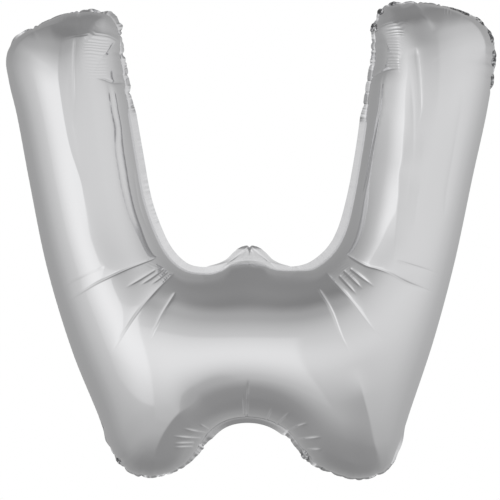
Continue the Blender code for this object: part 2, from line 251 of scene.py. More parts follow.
# The back film is not in the picture: its creases start at the same gathered corners
BACK_FOLDS = (
    ("left_upper", 0.9, 1.3, 2.4, 16, 14,
     ((-146, 14), (-170, 8), (-205, -2), (-240, -20), (-282, -44), (-312, -60))),
    ("left_lower", 1.1, 1.4, 2.8, 22, 10,
     ((-120, -12), (-138, -38), (-158, -64), (-178, -96), (-214, -162))),
    ("left_short", 0.7, 1.1, 0.7, 5, 6, ((-150, -4), (-176, -18), (-206, -34))),
    ("left_short_low", 0.6, 1.1, 0.6, 4, 5, ((-138, -16), (-158, -34), (-180, -54))),
    ("right_upper", 0.9, 1.2, 2.5, 13, 16, ((158, 15), (188, 6), (220, -8), (255, -26), (296, -44))),
    ("right_lower", 1.1, 1.4, 2.8, 10, 22, ((128, -14), (148, -40), (168, -70), (188, -100), (220, -160))),
    ("right_short", 0.7, 1.1, 0.7, 4, 6, ((164, -4), (188, -18), (214, -36))),
    ("right_ray", -0.5, 1, 0.9, 6, 8, ((112, -38), (130, -76), (146, -118), (158, -156))),
    ("arch_middle", 0.7, 1.1, 0.4, 3, 3, ((4, -268), (5, -238), (4, -204))),
    ("arch_sides", -0.6, 1.1, 0.5, 3, 3,
     ((-52, -280), (-66, -264), (-82, -250)), ((-84, -300), (-106, -292), (-130, -286)),
     ((36, -272), (46, -256), (56, -240)), ((78, -292), (98, -284), (120, -278))),
    ("left_leg_spindle", 1.8, 3, -1.2, 12, 12,
     ((-236, 300), (-228, 250), (-222, 200), (-214, 150), (-180, 44))),
    ("right_leg_spindle", 1.6, 2.8, -1.2, 12, 12,
     ((236, 310), (230, 262), (222, 212), (212, 160), (182, 50))),
    ("left_leg_ridge", 0, 1, -1.6, 14, 16,
     ((-316, 400), (-318, 300), (-300, 200), (-276, 110), (-262, 40))),
    ("right_leg_ridge", 0, 1, -1.6, 16, 14,
     ((322, 400), (318, 300), (300, 200), (280, 110), (266, 40))),
    ("left_cap", 0.7, 1, -3.6, 28, 9, ((-222, 380), (-246, 390), (-276, 388), (-306, 380))),
    ("right_cap", 0.6, 1, -3.4, 9, 26, ((222, 404), (244, 412), (270, 408), (296, 400))),
)

# Fine ripples of the films: middle (x, z) mm, half size (across the lines, along the lines) mm, direction of
# the lines in degrees, spacing mm, height mm
BACK_RIPPLES = (
    ((-255, 360), (20, 18), 0, 5.0, 0.26),
    ((252, 388), (14, 14), 0, 5.2, 0.26),
    ((244, 340), (24, 12), 0, 5.2, 0.16),
    ((-150, -12), (9, 13), -30, 4.2, 0.12),
    ((156, -10), (16, 11), 38, 4.4, 0.10),
)
FRONT_RIPPLES = (
    ((-259, 366), (22, 19), 0, 5.2, 0.30),
    ((-257, 330), (20, 17), 0, 5.4, 0.15),
    ((250, 394), (11, 13), 0, 5.0, 0.30),
    ((246, 352), (28, 11), 0, 5.4, 0.18),
    ((-161, -5), (6, 14), -25, 4.0, 0.10),
    ((-144, -22), (9, 12), -35, 4.2, 0.12),
    ((161, -12), (20, 11), 40, 4.4, 0.10),
    ((-242, -109), (14, 11), -40, 4.6, 0.06),
    ((226, -82), (20, 14), 30, 4.6, 0.06),
    ((183, -138), (17, 11), 25, 4.6, 0.07),
    ((337, 428), (8, 10), 90, 4.4, 0.16),
)

# Where film and margin are gathered and crinkled: middle (x, z) mm, reach mm, strength
GATHERED = (
    ((-300, 425), 95, 1.0), ((-215, 395), 50, 1.0), ((-210, 320), 62, 0.8), ((245, 440), 75, 1.0),
    ((215, 340), 95, 0.75), ((335, 440), 50, 0.7), ((415, 375), 75, 1.0), ((-165, -350), 78, 0.7),
    ((-228, -335), 32, 1.0), ((160, -352), 95, 0.8), ((95, -312), 36, 0.8), ((-90, -318), 26, 0.6),
)

# Leaves of the margin that are folded away from the light and given painted shade: middle (x, z) mm, half
# length mm, strength
DARK_LEAVES = (
    ((218, 404), 8, 0.8), ((224, 433), 7, 0.8), ((246, 448), 9, 0.5), ((364, 431), 21, 0.9),
    ((399, 416), 11, 0.8), ((420, 388), 15, 1), ((426, 350), 17, 1), ((414, 309), 17, 0.8),
    ((-231, 430), 5, 0.8), ((-222, 417), 4, 0.8), ((-228, -345), 10, 0.9), ((97, -333), 13, 0.4),
    ((130, -352), 5, 0.4),
)
# Leaves that stand out further: middle (x, z) mm, half length mm, added width mm
BROAD_LEAVES = (((-228, 418), 26, 8), ((-277, 434), 24, 3.5))


def smoothstep(low, high, value):
    share = np.clip((value - low) / (high - low), 0, 1)
    return share * share * (3 - 2 * share)


def window(value, rise, fall):
    """0 to 1 over one stretch of value, and back to 0 over a later one."""
    return smoothstep(*rise, value) * (1 - smoothstep(*fall, value))


def smooth_curve(before, start, end, after, t):
    """Points at shares t of the way from start to end, on a smooth curve through all four."""
    return 0.5 * (
        2 * start
        + (end - before) * t
        + (2 * before - 5 * start + 4 * end - after) * t**2
        + (3 * start - before - 3 * end + after) * t**3
    )


def search_tree(points):
    """Finds the nearest of many points (x, z)."""
    tree = kdtree.KDTree(len(points))
    for i, (x, z) in enumerate(points):
        tree.insert((x, z, 0), i)
    tree.balance()
    return tree


# The seam, read from the frame


def flat_loops(node, level):
    """Closed rows of points (x, z) where a node's walls meet the plane y = level, widest first."""
    bm = bmesh.new()
    bm.from_mesh(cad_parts[node].data)
    bmesh.ops.remove_doubles(bm, verts=bm.verts, dist=1e-6)
    flat = {v for v in bm.verts if abs(v.co.y - level) < 1e-5}
    walls = [f for f in bm.faces if not flat.issuperset(f.verts)]
    border = list(dict.fromkeys(e for f in walls for e in f.edges if flat.issuperset(e.verts)))
    joined = {}
    for e in border:
        for v in e.verts:
            joined.setdefault(v, []).append(e)
    loops, used = [], set()
    for first in border:
        if first in used:
            continue
        v, e, row = first.verts[0], first, []
        while e is not None:
            used.add(e)
            row.append((v.co.x, v.co.z))
            v = e.other_vert(v)
            e = next((n for n in joined[v] if n not in used), None)
        loops.append(np.array(row))
    bm.free()
    return sorted(loops, key=lambda row: -np.ptp(row[:, 0]))


def closed_curve(knots, step):
    """Points an even step apart on a smooth closed curve through the knots."""
    corners = [np.roll(knots, -k, axis=0)[:, None] for k in (-1, 0, 1, 2)]
    fine = smooth_curve(*corners, np.linspace(0, 1, 32, endpoint=False)[None, :, None])
    fine = fine.reshape(-1, knots.shape[1])
    ends = np.vstack([fine, fine[:1]])
    along = np.concatenate([[0], np.cumsum(np.linalg.norm(np.diff(ends[:, :2], axis=0), axis=1))])
    places = np.linspace(0, along[-1], round(along[-1] / step), endpoint=False)
    return np.column_stack([np.interp(places, along, ends[:, c]) for c in range(ends.shape[1])])


def ring_mean(values, reach):
    """Closed row of values, each averaged over its neighbours within reach steps."""
    kernel = np.hanning(2 * reach + 3)[1:-1]
    padded = np.concatenate([values[-reach:], values, values[:reach]])
    return np.convolve(padded, kernel / kernel.sum(), mode="valid")


class Seam:
    """The seam line: dense points (x, z), inward normals, curvature and the flange's width."""

    def __init__(self):
        outer, shown = flat_loops("seam_flange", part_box("seam_flange")[0].y)[:2]
        area = np.sum(shown[:, 0] * np.roll(shown[:, 1], -1) - np.roll(shown[:, 0], -1) * shown[:, 1])
        self.points = closed_curve(shown if area > 0 else shown[::-1], SEAM_STEP)
        self.count = len(self.points)
        ahead = np.roll(self.points, -1, axis=0) - np.roll(self.points, 1, axis=0)
        self.length = np.linalg.norm(np.roll(self.points, -1, axis=0) - self.points, axis=1).sum()
        self.along = ahead / np.linalg.norm(ahead, axis=1)[:, None]
        self.inward = np.column_stack([-self.along[:, 1], self.along[:, 0]])
        self.points += self.inward * SHOWN_FROM
        self.step = self.length / self.count
        turn = np.roll(self.along, -TURN_SPAN, axis=0) - np.roll(self.along, TURN_SPAN, axis=0)
        self.convex = ring_mean((turn * self.inward).sum(axis=1) / (2 * TURN_SPAN * self.step), EVEN_TURN)
        self.tree = search_tree(self.points)
        border = search_tree(closed_curve(outer, SEAM_STEP))
        width = np.array([border.find((x, z, 0))[2] for x, z in self.points])
        self.width = ring_mean(width, EVEN_WIDTH)

    def nearest(self, plan):
        """Signed distance (above 0 inside), index of the nearest seam point and distance along from it."""
        index = np.array([self.tree.find((x, z, 0))[1] for x, z in plan])
        rel = plan - self.points[index]
        beside = (rel * self.inward[index]).sum(axis=1)
        along = (rel * self.along[index]).sum(axis=1)
        far = np.sqrt(np.maximum((rel**2).sum(axis=1) - np.minimum(np.abs(along), self.step) ** 2, 0))
        spread = np.clip(1 - self.convex[index] * beside, 0.3, 4)
        return np.where(beside > 0, far, -far), index, np.clip(along / spread, -self.step, self.step)

    def read(self, ring, index, along):
        """A ring of values at places between the seam's points."""
        place = index + along / self.step
        low = np.floor(place).astype(int)
        share = place - low
        if ring.ndim > 1:
            share = share[:, None]
        return ring[low % self.count] * (1 - share) + ring[(low + 1) % self.count] * share


class Bulge:
    """How far the gas pushes the film out: height squared has a Laplacian of -2 and is 0 on the seam."""

    def __init__(self, seam):
        margin = 4 * FIELD_CELL
        self.low = seam.points.min(axis=0) - margin
        size = np.ceil((seam.points.max(axis=0) + margin - self.low) / FIELD_CELL).astype(int) + 1
        grid = np.stack(np.meshgrid(*(np.arange(n) for n in size), indexing="ij"), axis=-1)
        self.distance = seam.nearest(grid.reshape(-1, 2) * FIELD_CELL + self.low)[0].reshape(size)
        self.field = self.solved()
        near, far = READ_DEPTHS
        near_ratio = self.smooth_read(seam.points + seam.inward * near) / near
        far_ratio = self.smooth_read(seam.points + seam.inward * far) / far
        self.slope = ring_mean((far_ratio - near_ratio) / (far - near), EVEN_BULGE[1])
        self.foot = ring_mean(near_ratio, EVEN_BULGE[0]) - self.slope * near

    def solved(self):
        """Conjugate gradients on the grid, with the seam's true place between the grid's points."""
        d, inside = self.distance, self.distance > 0
        diagonal = np.zeros(d.shape)
        links = []
        for axis, step in ((0, 1), (0, -1), (1, 1), (1, -1)):
            beyond = np.roll(d, -step, axis=axis)
            share = np.clip(d / np.maximum(d - beyond, 1e-12), 0.05, 1)
            diagonal += np.where(beyond > 0, 1.0, 1 / share)
            links.append((axis, step, (beyond > 0).astype(float)))

        def apply(field):
            out = diagonal * field
            for axis, step, joined in links:
                out -= joined * np.roll(field, -step, axis=axis)
            return np.where(inside, out, 0)

        field = np.zeros(d.shape)
        left_over = np.where(inside, 2 * FIELD_CELL**2, 0)
        ahead, size = left_over.copy(), (left_over**2).sum()
        first = size
        while size > FIELD_TOLERANCE * first:
            pushed = apply(ahead)
            pace = size / (ahead * pushed).sum()
            field += pace * ahead
            left_over -= pace * pushed
            new = (left_over**2).sum()
            ahead, size = left_over + new / size * ahead, new
        return field

    def smooth_read(self, points):
        """The field between its grid points, by a smooth cubic through the four nearest rows each way."""
        place = (points - self.low) / FIELD_CELL
        cell = np.clip(np.floor(place).astype(int), 1, np.array(self.field.shape) - 3)
        fx, fz = (place - cell).T
        total = np.zeros(len(points))
        for i, wx in enumerate(cubic_weights(fx)):
            for j, wz in enumerate(cubic_weights(fz)):
                total += wx * wz * self.field[cell[:, 0] + i - 1, cell[:, 1] + j - 1]
        return total

    def height(self, seam, plan, distance, index, along):
        """How far the film stands out at places in the seam plane."""
        foot, slope = seam.read(self.foot, index, along), seam.read(self.slope, index, along)
        near = (foot + slope * distance) * distance
        share = smoothstep(*READ_DEPTHS, distance)
        return DEPTH_SHARE * np.sqrt(np.maximum(near * (1 - share) + self.smooth_read(plan) * share, 0))


def cubic_weights(f):
    """Weights of four neighbours for a twice smooth curve."""
    middle = (3 * f**3 - 6 * f**2 + 4) / 6, (-3 * f**3 + 3 * f**2 + 3 * f + 1) / 6
    return (1 - f) ** 3 / 6, *middle, f**3 / 6


# Folds, ripples and puckers


def line_distance(plan, line):
    """Signed distance to an open line and the share of its length at the nearest place."""
    steps = np.diff(line, axis=0)
    lengths = np.linalg.norm(steps, axis=1)
    starts = np.concatenate([[0], np.cumsum(lengths)])
    best = np.full(len(plan), np.inf)
    signed, share = np.zeros(len(plan)), np.zeros(len(plan))
    for a, d, length, start in zip(line, steps, lengths, starts):
        rel = plan - a
        t = np.clip((rel @ d) / length**2, 0, 1)
        gap = rel - t[:, None] * d
        far = np.hypot(gap[:, 0], gap[:, 1])
        near = far < best
        best = np.where(near, far, best)
        side = np.sign(d[0] * rel[:, 1] - d[1] * rel[:, 0])
        signed = np.where(near, far * side, signed)
        share = np.where(near, (start + t * length) / starts[-1], share)
    return signed, share


def open_curve(points):
    """A smooth open curve through a few points in mm."""
    p = np.array(points, float) * MM
    p = np.vstack([2 * p[0] - p[1], p, 2 * p[-1] - p[-2]])
    t = np.linspace(0, 1, 12, endpoint=False)[:, None]
    rows = [smooth_curve(*p[i : i + 4], t) for i in range(len(p) - 3)]
    return np.vstack([*rows, p[-2:-1]])


def fold_depth(plan, folds):
    """Displacement of the film by its folds: a sharp groove in a wide kinked bend."""
    total = np.zeros(len(plan))
    for _, groove, groove_half, bend, left, right, *lines in folds:
        fade = SHARP_FADE if abs(groove) > SHARP_GROOVE else SOFT_FADE
        for line in map(open_curve, lines):
            near = inside_box(plan, line, 4 * MM * max(left, right, groove_half))
            if not len(near):
                continue
            far, share = line_distance(plan[near], line)
            reach = np.where(far > 0, left, right) * MM
            shape = groove * np.exp(-((far / (groove_half * MM)) ** 2))
            shape += bend * np.exp(-(np.hypot(far, FOLD_ROUND) - FOLD_ROUND) / reach)
            total[near] -= MM * shape * window(share, *fade)
    return total


def inside_box(plan, line, margin):
    low, high = line.min(axis=0) - margin, line.max(axis=0) + margin
    return np.flatnonzero(((plan > low) & (plan < high)).all(axis=1))


def near_fold(plan, folds, margin):
    """True within a margin of a fold's line."""
    near = np.zeros(len(plan), bool)
    for fold in folds:
        for line in map(open_curve, fold[6:]):
            some = inside_box(plan, line, margin)
            if len(some):
                near[some] |= np.abs(line_distance(plan[some], line)[0]) < margin
    return near


def patch_places(plan, middle, degrees):
    """Places in mm across and along a patch's lines."""
    rel = plan / MM - middle
    angle = math.radians(degrees)
    along = rel[:, 0] * math.cos(angle) + rel[:, 1] * math.sin(angle)
    return rel[:, 1] * math.cos(angle) - rel[:, 0] * math.sin(angle), along


def in_patch(plan, ripples, least):
    """True in and just round a patch of ripples of at least this height."""
    inside = np.zeros(len(plan), bool)
    for middle, size, degrees, _, height in ripples:
        if height >= least:
            across, along = patch_places(plan, middle, degrees)
            inside |= (np.abs(across) < 1.1 * size[0]) & (np.abs(along) < 1.1 * size[1])
    return inside


def ripple_height(plan, ripples):
    total = np.zeros(len(plan))
    (across_sway, across_pace), (along_sway, along_pace) = RIPPLE_SWAY
    for k, (middle, size, degrees, spacing, height) in enumerate(ripples):
        across, along = patch_places(plan, middle, degrees)
        mask = np.exp(-((across / size[0]) ** 4) - (along / size[1]) ** 4)
        sway = across_sway * np.sin(across * across_pace + k)
        sway += along_sway * np.sin(along * along_pace + 2 * k)
        total += MM * height * mask * np.cos(2 * math.pi * (across + sway) / spacing)
    return total


def beside_spots(seam, spots, full):
    """Value of each spot (middle, reach, value) along the seam, whole within a share full of its reach."""
    rows = []
    for middle, reach, value in spots:
        far = np.hypot(*(seam.points / MM - middle).T) / reach
        rows.append(value * (1 - smoothstep(full, 1.1, far)))
    return np.array(rows)


class Puckers:
    """Lobes and valleys of the film along the seam; both films and the margin share their places."""

    def __init__(self, seam, seed=7):
        rng = np.random.RandomState(seed)
        lengths = []
        while sum(lengths) < seam.length - LAST_LOBE:
            lengths.append(rng.choice([rng.uniform(*span) for span in LOBE_LENGTHS]))
        lengths = np.array(lengths) * seam.length / sum(lengths)
        count = len(lengths)
        sides = [FORWARD_SHARE, 1 - FORWARD_SHARE]
        self.lobe_tilt = rng.uniform(*LOBE_TILTS, count) * rng.choice([-1, 1], count, p=sides)
        self.lobe_size = rng.uniform(*LOBE_SIZES, count)
        self.valley = rng.uniform(*VALLEY_DEPTHS, count) ** 1.6
        self.reach = rng.uniform(*VALLEY_REACHES, count)
        edges = np.concatenate([[0], np.cumsum(lengths)])
        places = np.arange(seam.count) * seam.step
        self.lobe = np.clip(np.searchsorted(edges, places, side="right") - 1, 0, count - 1)
        self.share = (places - edges[self.lobe]) / lengths[self.lobe]
        gathered = beside_spots(seam, GATHERED, 0.75).max(axis=0)
        self.strength = ring_mean(np.maximum(FAINT_PUCKER, gathered), EVEN_STRENGTH)
        self.wave = np.sin(np.cumsum(rng.normal(0, FINE_CRINKLE, seam.count)))
        # dark leaves fold further, and the margin stores painted shade for them
        self.dark = beside_spots(seam, DARK_LEAVES, 0.6).max(axis=0)
        self.broad = beside_spots(seam, BROAD_LEAVES, 0.4).sum(axis=0) * MM

    def rings(self):
        """Depth and reach of the puckering at every seam point."""
        after = (self.lobe + 1) % len(self.valley)
        first = self.share < 0.5
        depth = np.where(first, self.valley[self.lobe], self.valley[after])
        depth = depth * (1 - np.sin(np.pi * self.share) ** 0.7)
        reach = np.where(first, self.reach[self.lobe], self.reach[after])
        return ring_mean(depth, 1) * self.strength * (1 - self.dark) + self.dark, ring_mean(reach, 3)


# Materials


def node_material(name):
    """A new material, its node tree and its main shader."""
    material = bpy.data.materials.new(name)
    material.use_nodes = True
    return material, material.node_tree, material.node_tree.nodes["Principled BSDF"]


def fill(tree, node, *values, **named):
    """Sets or joins a node's sockets, in their order or by name (an underscore stands for a space)."""
    sockets = list(zip(node.inputs, values))
    sockets += [(node.inputs[name.replace("_", " ")], value) for name, value in named.items()]
    for socket, value in sockets:
        if isinstance(value, bpy.types.NodeSocket):
            tree.links.new(value, socket)
        else:
            socket.default_value = value
    return node


def add(tree, kind, *values, **named):
    """The first output of a new node."""
    return fill(tree, tree.nodes.new(kind), *values, **named).outputs[0]


def math_node(tree, operation, *values):
    node = tree.nodes.new("ShaderNodeMath")
    node.operation = operation
    return fill(tree, node, *values).outputs["Value"]


def vector_node(tree, operation, *values):
    node = tree.nodes.new("ShaderNodeVectorMath")
    node.operation = operation
    return fill(tree, node, *values).outputs


def own_space(tree):
    """Places on the piece, which move with it."""
    return tree.nodes.new("ShaderNodeTexCoord").outputs["Object"]


def noise(tree, **values):
    return add(tree, "ShaderNodeTexNoise", Vector=own_space(tree), **values)


def grey_ramp(tree, place, stops, low, high):
    """A smooth curve through the stops, which lie between low and high, read at a place from 0 to 1."""
    node = tree.nodes.new("ShaderNodeValToRGB")
    node.color_ramp.interpolation = "CARDINAL"
    bar = node.color_ramp.elements
    while len(bar) < len(stops):
        bar.new(0.5)
    for element, (stop, value) in zip(bar, stops):
        element.position = (stop - low) / (high - low)
        element.color = (value, value, value, 1)
    return fill(tree, node, place).outputs["Color"]


def surface(tree, shader):
    fill(tree, tree.nodes["Material Output"], Surface=shader)


def foil_material(name, colour, roughness, bump):
    """Metallised film: a soft mirror with a faint unevenness of the sheet."""
    material, tree, shader = node_material(name)
    cloud = noise(tree, Scale=7, Detail=2)
    blur = add(tree, "ShaderNodeMapRange", cloud, To_Min=roughness - 0.03, To_Max=roughness + 0.04)
    sheet = noise(tree, Scale=26, Detail=3, Roughness=0.55)
    relief = add(tree, "ShaderNodeBump", Strength=bump, Distance=0.001, Height=sheet)
    fill(tree, shader, Base_Color=(*colour, 1), Metallic=1.0, Roughness=blur, Normal=relief)
    return material


def paint_shade_on_folded_leaves(material, colour):
    """Painted shade: darker flecks in the base colour of the margin's leaves that are folded away, standing
    in for the shade they lie in.
    """
    tree = material.node_tree
    away = tree.nodes.new("ShaderNodeAttribute")
    away.attribute_name = "painted_leaf_shade"
    flecks = add(tree, "ShaderNodeMapRange", noise(tree, Scale=260), From_Min=0.38, From_Max=0.55)
    mix = tree.nodes.new("ShaderNodeMix")
    mix.data_type = "RGBA"
    share = math_node(tree, "MULTIPLY", flecks, away.outputs["Fac"])
    # the dark grey is the colour of the painted shade
    fill(tree, mix, Factor=share, A=(*colour, 1), B=(0.16, 0.16, 0.165, 1))
    fill(tree, tree.nodes["Principled BSDF"], Base_Color=mix.outputs["Result"])


def clear_film_material():
    """Thin clear plastic film, a little cloudy."""
    material, tree, shader = node_material("valve_clear")
    blur = add(tree, "ShaderNodeMapRange", noise(tree, Scale=60), To_Min=0.12, To_Max=0.30)
    fill(tree, shader, Base_Color=(0.86, 0.88, 0.90, 1), Alpha=0.6, Roughness=blur)
    return material


def floor_material():
    """Pale floor glowing white towards its edge, a painted light; the glow fades towards the middle, a
    painted soft shadow under the balloon.
    """
    material, tree, shader = node_material("floor_white")
    fill(tree, shader, Base_Color=(0.62, 0.62, 0.62, 1), Roughness=0.9)
    flat = vector_node(tree, "MULTIPLY", own_space(tree), (1, 1, 0))["Vector"]
    edge = FLOOR_PAINTED_GLOW[-1][0]
    far = math_node(tree, "DIVIDE", vector_node(tree, "LENGTH", flat)["Value"], edge)
    share = grey_ramp(tree, far, FLOOR_PAINTED_GLOW, 0, edge)
    glow = add(tree, "ShaderNodeEmission")
    surface(tree, add(tree, "ShaderNodeMixShader", share, shader.outputs["BSDF"], glow))
    return material


# Pieces


def put(bm, places):
    """Moves every vertex to its place."""
    for v, place in zip(bm.verts, places):
        v.co = place


def finished(bm, name, material, smooth=True):
    """An object made of the bmesh, with sharp edges only along open borders."""
    for e in bm.edges:
        e.smooth = not e.is_boundary
    mesh = bpy.data.meshes.new(name)
    bm.to_mesh(mesh)
    bm.free()
    if smooth:
        mesh.shade_smooth()
    obj = bpy.data.objects.new(name, mesh)
    bpy.context.scene.collection.objects.link(obj)
    mesh.materials.append(material)
    return obj


def walled(bm, name, material, thickness):
    """A finished piece whose thin wall lies about its mesh."""
    piece = finished(bm, name, material)
    wall = piece.modifiers.new("wall", "SOLIDIFY")
    wall.thickness = thickness
    wall.offset = 0
    return piece


class FilmPlan:
    """A fine net over the letter, crowded towards the seam, shared by both films."""

    def __init__(self):
        self.seam = Seam()
        self.bulge = Bulge(self.seam)
        self.puckers = Puckers(self.seam)

    def net(self, folds, ripples):
        """A bmesh net in the seam plane, finer near folds, ripples and gathered stretches of the seam."""
        low, high = self.seam.points.min(axis=0) - FILM_CELL, self.seam.points.max(axis=0) + FILM_CELL
        size = high - low
        cells = np.ceil(size / FILM_CELL).astype(int)
        bm = bmesh.new()
        bmesh.ops.create_grid(bm, x_segments=int(cells[0]), y_segments=int(cells[1]), size=1)
        middle = (low + high) / 2
        flat = np.array([v.co[:2] for v in bm.verts]) * size / 2 + middle
        distance = self.seam.nearest(flat)[0]
        far_out = [v for v, d in zip(bm.verts, distance) if d < -0.3 * FILM_CELL]
        put(bm, np.insert(flat, 1, 0, axis=1))
        bmesh.ops.delete(bm, geom=far_out, context="VERTS")
        loose = [v for v in bm.verts if not v.link_faces]
        bmesh.ops.delete(bm, geom=loose, context="VERTS")
        for level, margin in enumerate(FINE_MARGINS):
            plan, distance, index, _ = self.laid(bm)
            chosen = [fold for fold in folds if level == 0 or abs(fold[1]) > SHARP_GROOVE]
            near = near_fold(plan, chosen, margin) | in_patch(plan, ripples, FINE_RIPPLE * level)
            if level == 0:
                near |= (distance < FINE_SEAM) & (self.puckers.strength[index] > GATHERED_FROM)
            fine = dict(zip(bm.verts, near))
            edges = [e for e in bm.edges if fine[e.verts[0]] and fine[e.verts[1]]]
            bmesh.ops.subdivide_edges(bm, edges=edges, cuts=1, use_grid_fill=True)
        return bm

    def laid(self, bm):
        """Places in the seam plane, crowded towards the seam, with distance and nearest seam point."""
        seam = self.seam
        edge = np.array([v.is_boundary for v in bm.verts])
        flat = np.array([(v.co.x, v.co.z) for v in bm.verts])
        distance, index, along = seam.nearest(flat)
        share = np.clip(distance / NEAR_SEAM, 0, 1)
        crowded = np.where(distance < NEAR_SEAM, NEAR_SEAM * share**2 * (2 - share), distance)
        crowded = np.where(edge, 0, np.maximum(crowded, OFF_EDGE))
        foot = seam.points[index] + seam.along[index] * along[:, None]
        facing = seam.read(seam.inward, index, along)
        plan = np.where((distance < NEAR_SEAM)[:, None], foot + facing * crowded[:, None], flat)
        return plan, crowded, index, (along, edge, facing)

    def film(self, side, folds, ripples):
        """The film of one side (-1 front, +1 back)."""
        seam, bm = self.seam, self.net(folds, ripples)
        plan, crowded, index, (along, edge, facing) = self.laid(bm)
        height = self.bulge.height(seam, plan, crowded, index, along)
        rim = abs(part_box("front_panel")[1].y)
        coords = np.column_stack([plan[:, 0], side * (rim * (1 - edge) + height), plan[:, 1]])
        if side < 0:
            across, rise, push = np.array(EDGE_LIFT).T * MM
            near = np.exp(-((crowded / EDGE_LIFT_FADE) ** 2)) * (plan[:, 1] > EDGE_LIFT_ABOVE)
            coords[:, 2] += np.interp(plan[:, 0], across, rise) * near
            coords[:, 1] -= np.interp(plan[:, 0], across, push) * near
        put(bm, coords)
        bm.normal_update()
        normal = np.array([v.normal for v in bm.verts])
        normal *= np.where(normal[:, 1] * side < 0, -1, 1)[:, None]
        out = np.column_stack([-facing[:, 0], np.zeros(len(plan)), -facing[:, 1]])
        normal = np.where(edge[:, None], out, normal)
        arc = np.hypot(height, crowded)
        depth, reach = self.puckers.rings()
        valley = seam.read(depth, index, along)
        length = seam.read(reach, index, along)
        move = -PUCKER_DEPTH * valley * np.exp(-((arc / length) ** 1.3))
        move += fold_depth(plan, folds) + ripple_height(plan, ripples)
        put(bm, coords + normal * move[:, None])
        bmesh.ops.recalc_face_normals(bm, faces=bm.faces)
        if sum(f.normal.y * f.calc_area() for f in bm.faces) * side < 0:
            bmesh.ops.reverse_faces(bm, faces=bm.faces)
        return bm


PLAN = {}


def film_plan():
    if "plan" not in PLAN:
        PLAN["plan"] = FilmPlan()
    return PLAN["plan"]


def margin_mesh():
    """The welded margin as a thin strip: flat in the U, leaning back elsewhere, crinkled where gathered."""
    plan = film_plan()
    seam, puckers = plan.seam, plan.puckers
    leaf, gathered, dark = np.sin(np.pi * puckers.share), puckers.strength, puckers.dark
    narrow = 1 - smoothstep(*NARROW_FLANGE, seam.width)
    arch = np.exp(-((seam.points[:, 0] / ARCH_HALF_WIDTH) ** 4)) * (seam.points[:, 1] < ARCH_BELOW)
    foot = smoothstep(*FOOT_DEPTHS, -seam.points[:, 1])
    lean = ring_mean(np.maximum(narrow * FOLDED_LEAN, arch * ARCH_LEAN), EVEN_LEAN) * (1 - gathered)
    lean += gathered * (GATHERED_LEAN + FOOT_LEAN * foot) * (1 - dark)
    wave = ring_mean(puckers.wave, 1) * (1 - 0.8 * dark)
    tilt = ring_mean(puckers.lobe_tilt[puckers.lobe] * leaf**0.3, 2) * LEAF_TILT + wave * WAVE_TILT
    size = 1 - LEAF_NARROWING * gathered * (1 - puckers.lobe_size[puckers.lobe] * leaf**0.25)
    size += WAVE_NARROWING * gathered * wave
    width = ring_mean(seam.width * np.clip(size, *LEAF_WIDTHS), 1) + narrow * (1 - gathered) * FOLDED_WIDTH
    width += dark * (PUCKER_DEPTH + 0.001) + puckers.broad * (0.6 + 0.4 * leaf)
    valley = PUCKER_DEPTH * puckers.rings()[0]
    bm = bmesh.new()
    bmesh.ops.create_circle(bm, segments=seam.count, radius=1, cap_ends=False)
    # painted shade of the dark leaves, read by the weld's material
    shade = bm.verts.layers.float.new("painted_leaf_shade")
    ring, edges = list(bm.verts), list(bm.edges)

    def place(share):
        turn = tilt * gathered * (0.5 + 0.7 * share)
        reach = width * share
        out = reach * np.cos(lean) * (0.7 + 0.3 * np.cos(turn)) - valley - (0 if share else TUCKED)
        back = reach * np.sin(lean + turn) + 0.00003 * wave * share
        spot = seam.points - seam.inward * out[:, None]
        # the last column is the painted shade of the dark leaves
        rows = np.column_stack([spot[:, 0], back, spot[:, 1], np.minimum(1, 2 * dark)])
        for v, (*co, away) in zip(ring, rows):
            v.co = co
            v[shade] = away

    place(0)
    for row in range(1, MARGIN_ROWS + 1):
        made = bmesh.ops.extrude_edge_only(bm, edges=edges)["geom"]
        fresh = {g for g in made if isinstance(g, bmesh.types.BMVert)}
        twin = {e.other_vert(v): v for v in fresh for e in v.link_edges if e.other_vert(v) not in fresh}
        ring = [twin[v] for v in ring]
        edges = [g for g in made if isinstance(g, bmesh.types.BMEdge) and fresh.issuperset(g.verts)]
        place(row / MARGIN_ROWS)
    bmesh.ops.recalc_face_normals(bm, faces=bm.faces)
    return bm


def neck_path(along, offset):
    """(y, height) of the folded neck at lengths along it, offset behind its middle film."""
    lean = math.pi - NECK_FALL_LEAN
    turn = np.clip((along - NECK_RISE) / NECK_FOLD_RADIUS, 0, lean)
    radius = NECK_FOLD_RADIUS - offset
    past = np.maximum(along - NECK_RISE - NECK_FOLD_RADIUS * lean, 0)
    y = NECK_FOLD_RADIUS - radius * np.cos(turn) + past * math.sin(lean)
    z = np.minimum(along, NECK_RISE) + radius * np.sin(turn) + past * math.cos(lean)
    return y, z


